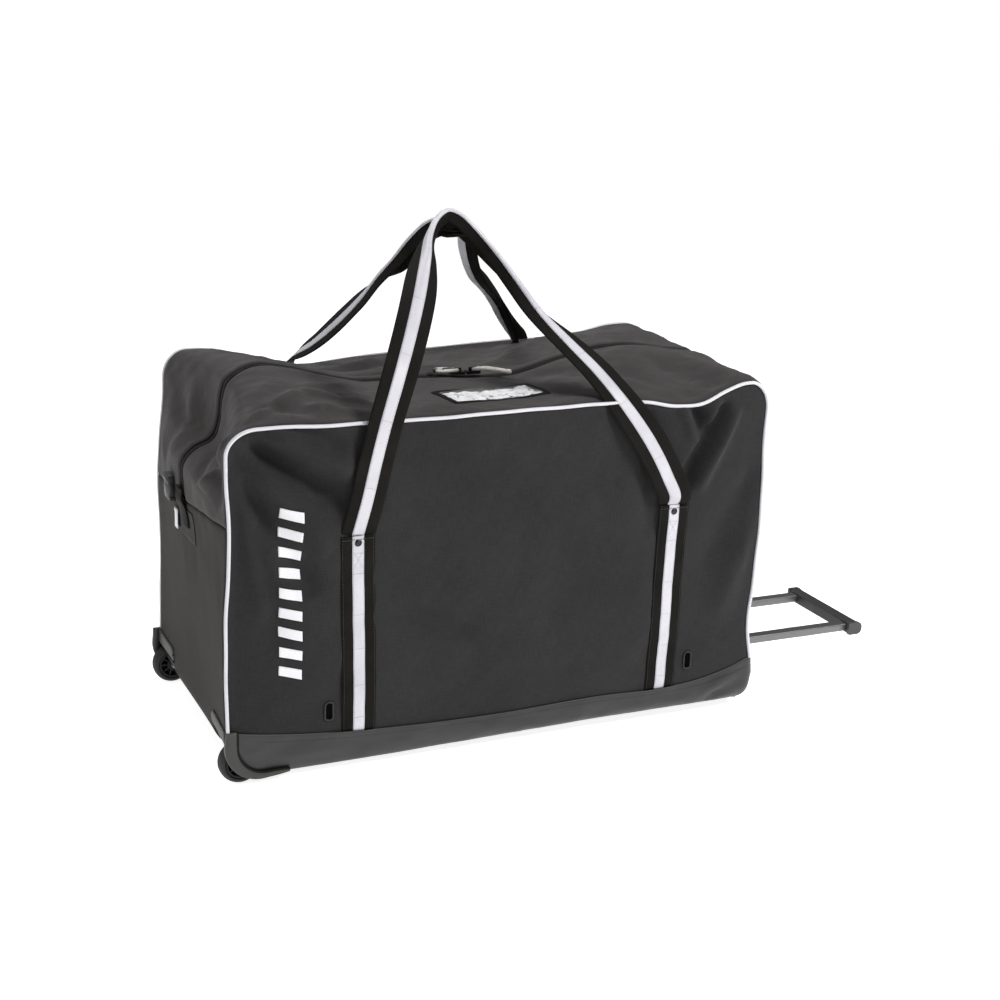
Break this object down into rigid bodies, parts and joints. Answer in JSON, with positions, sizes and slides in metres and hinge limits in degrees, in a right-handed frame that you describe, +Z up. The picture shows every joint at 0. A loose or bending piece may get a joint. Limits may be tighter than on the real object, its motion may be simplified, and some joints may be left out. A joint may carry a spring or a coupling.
{
  "type": "wheeled hockey equipment bag",
  "caption": "Large soft equipment bag with a zipped top, webbing carry loops, wheels at one end and a telescopic pull handle at the other.",
  "frame": {"origin": "centre of the base, on the floor (underside of the middle skid runner)", "axes": "+X towards the pull handle end, -X towards the wheel end, -Y towards the front panel, +Z up"},
  "size_m": [1.1516, 0.4332, 0.7698],
  "materials": {
    "shell_fabric": "matte woven polyester",
    "end_fabric": "matte woven polyester",
    "top_fabric": "matte woven polyester",
    "patch_fabric": "matte woven polyester",
    "coated_fabric": "coated, slight sheen",
    "piping": "satin",
    "black_webbing": "ribbed woven webbing",
    "white_webbing": "ribbed woven webbing",
    "zipper_tape": "woven",
    "zipper_teeth": "moulded coil",
    "dark_metal": "black lacquer",
    "cord": "braided cord",
    "frame_plastic": "matte",
    "card": "paper card",
    "clear_vinyl": "clear soft sheet",
    "blank_tag": "printed-cloth tag, blank",
    "black_plastic": "moulded, matte",
    "floor_liner": "fabric-covered board",
    "hub_plastic": "moulded, semi-gloss",
    "tyre": "smooth tread",
    "steel": "zinc plated",
    "bush": "moulded acetal",
    "tube_aluminium": "mill finish",
    "tube_dark": "black anodised",
    "grip_plastic": "moulded, fine texture",
    "cap_plastic": "moulded, semi-gloss",
    "button_plastic": "moulded"
  },
  "bodies": {
    "bag": {"anchor_stripes": "white_webbing", "anchor_webbing": "black_webbing", "axle_front": "steel", "axle_rear": "steel", "base_board": "black_plastic", "base_skirt": "coated_fabric", "blank_tag": "blank_tag", "bracket_screws": "steel", "buckle_socket": "black_plastic", "buckle_strap": "black_webbing", "corner_rims": "black_plastic", "end_grab_handle": "black_webbing", "end_patch": "patch_fabric", "floor_board": "floor_liner", "front_panel": "shell_fabric", "front_piping": "piping", "handle_bezel": "black_plastic", "handle_end_panel": "end_fabric", "housing_rivets": "dark_metal", "id_card": "card", "id_clear": "clear_vinyl", "id_frame": "frame_plastic", "outer_tubes": "tube_aluminium", "rear_panel": "shell_fabric", "rear_piping": "piping", "skid_runners": "black_plastic", "strap_rivets": "dark_metal", "top_panel_front": "top_fabric", "top_panel_rear": "top_fabric", "tube_brackets": "black_plastic", "vent_rims": "frame_plastic", "wheel_end_panel": "end_fabric", "wheel_housing_front": "black_plastic", "wheel_housing_rear": "black_plastic", "zipper_tape": "zipper_tape", "zipper_teeth": "zipper_teeth"},
    "wheel_front": {"wheel_hub_front": "hub_plastic", "wheel_bush_front": "bush", "tyre_front": "tyre"},
    "wheel_rear": {"wheel_hub_rear": "hub_plastic", "wheel_bush_rear": "bush", "tyre_rear": "tyre"},
    "pull_handle": {"inner_tubes": "tube_dark", "grip": "grip_plastic", "grip_caps": "cap_plastic", "tube_guides": "black_plastic"},
    "button": {"push_button": "button_plastic", "release_rods": "black_plastic"},
    "lock": {"lock_pins": "steel"},
    "front_loop": {"front_loop_webbing": "black_webbing", "front_loop_stripe": "white_webbing"},
    "rear_loop": {"rear_loop_webbing": "black_webbing", "rear_loop_stripe": "white_webbing"},
    "slider_left": {"zip_slider_left": "dark_metal"},
    "slider_right": {"zip_slider_right": "dark_metal"},
    "pull_left": {"zip_pull_left": "cord"},
    "pull_right": {"zip_pull_right": "cord"},
    "plug": {"buckle_plug": "black_plastic"}
  },
  "joints": [
    {"name": "wheel_front_spin", "type": "hinge", "parent": "bag", "child": "wheel_front", "pos_m": [-0.406, -0.19, 0.03], "axis": [0, 1, 0], "continuous": true},
    {"name": "wheel_rear_spin", "type": "hinge", "parent": "bag", "child": "wheel_rear", "pos_m": [-0.406, 0.19, 0.03], "axis": [0, 1, 0], "continuous": true},
    {"name": "handle_slide", "type": "slide", "parent": "bag", "child": "pull_handle", "axis": [1, 0, 0], "range_m": [-0.262, 0]},
    {"name": "button_press", "type": "slide", "parent": "pull_handle", "child": "button", "axis": [-1, 0, 0], "range_m": [0, 0.004], "stiffness_N_per_m": 400},
    {"name": "lock_pin_drop", "type": "slide", "parent": "pull_handle", "child": "lock", "axis": [0, 0, -1], "range_m": [0, 0.003]},
    {"name": "front_loop_swing", "type": "hinge", "parent": "bag", "child": "front_loop", "pos_m": [0, -0.213, 0.35], "axis": [1, 0, 0], "range_deg": [0, 150]},
    {"name": "rear_loop_swing", "type": "hinge", "parent": "bag", "child": "rear_loop", "pos_m": [0, 0.213, 0.35], "axis": [-1, 0, 0], "range_deg": [0, 150]},
    {"name": "zip_left_slide", "type": "slide", "parent": "bag", "child": "slider_left", "axis": [-1, 0, 0], "range_m": [0, 0.15]},
    {"name": "zip_right_slide", "type": "slide", "parent": "bag", "child": "slider_right", "axis": [1, 0, 0], "range_m": [0, 0.08]},
    {"name": "pull_left_lift", "type": "hinge", "parent": "slider_left", "child": "pull_left", "pos_m": [-0.0125, 0, 0.5228], "axis": [0, 1, 0], "range_deg": [0, 85]},
    {"name": "pull_right_lift", "type": "hinge", "parent": "slider_right", "child": "pull_right", "pos_m": [0.0125, 0, 0.5228], "axis": [0, -1, 0], "range_deg": [0, 85]},
    {"name": "buckle_release", "type": "slide", "parent": "bag", "child": "plug", "axis": [0, 0, 1], "range_m": [0, 0.02]}
  ],
  "couplings": [
    {"joint": "lock_pin_drop", "follows": "button_press", "ratio": 0.75}
  ]
}
